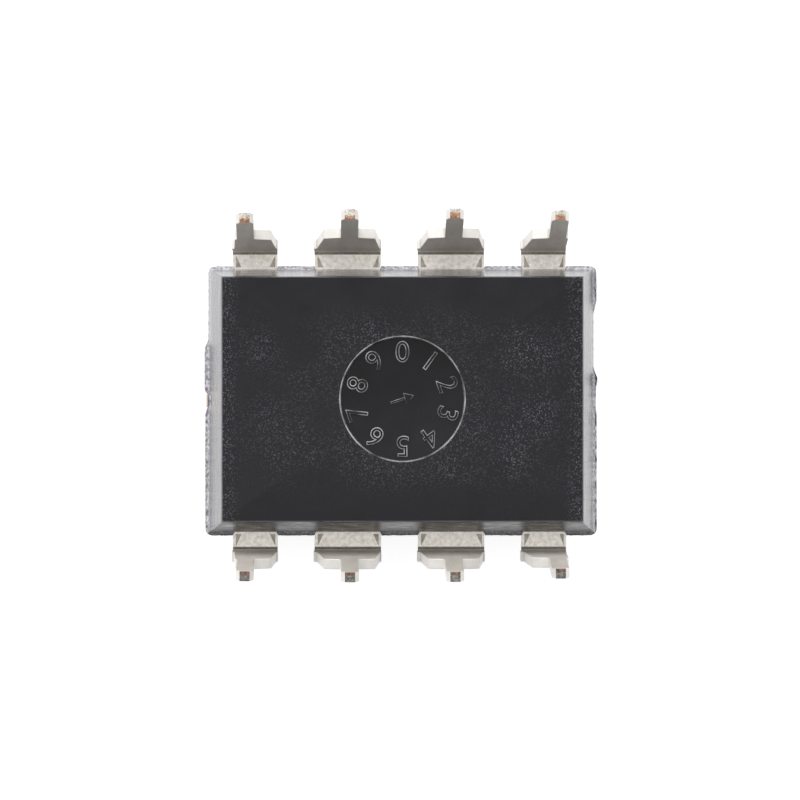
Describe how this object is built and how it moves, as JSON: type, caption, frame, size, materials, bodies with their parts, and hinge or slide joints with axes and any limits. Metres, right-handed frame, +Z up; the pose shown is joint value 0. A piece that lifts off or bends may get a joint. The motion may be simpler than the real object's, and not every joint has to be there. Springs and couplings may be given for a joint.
{
  "type": "dual in-line integrated circuit package",
  "caption": "Small black moulded plastic dual in-line integrated circuit with bent tinned leads, lying on its marked face with the leads up.",
  "frame": {"origin": "middle of the marked face, which the part lies on", "axes": "+X along the rows of leads, away from the orientation notch; +Y across the rows, towards leads 1 to 4; +Z up, from the marked face towards the lead ends"},
  "size_m": [0.0096, 0.009, 0.0068],
  "materials": {
    "epoxy": "matte moulded, polished on the drafted sides",
    "tinned_copper": "satin tin plate with sheared edges",
    "bare_copper": "bare",
    "silver_epoxy": "cured paste",
    "silicon": "polished",
    "gold": "drawn wire"
  },
  "bodies": {
    "root": {"package_body": "epoxy", "die_pad": "bare_copper", "die_attach": "silver_epoxy", "silicon_die": "silicon", "lead_1": "tinned_copper", "lead_2": "tinned_copper", "lead_3": "tinned_copper", "lead_4": "tinned_copper", "lead_5": "tinned_copper", "lead_6": "tinned_copper", "lead_7": "tinned_copper", "lead_8": "tinned_copper", "bond_wire_1": "gold", "bond_wire_2": "gold", "bond_wire_3": "gold", "bond_wire_4": "gold", "bond_wire_5": "gold", "bond_wire_6": "gold", "bond_wire_7": "gold", "bond_wire_8": "gold"}
  },
  "joints": []
}
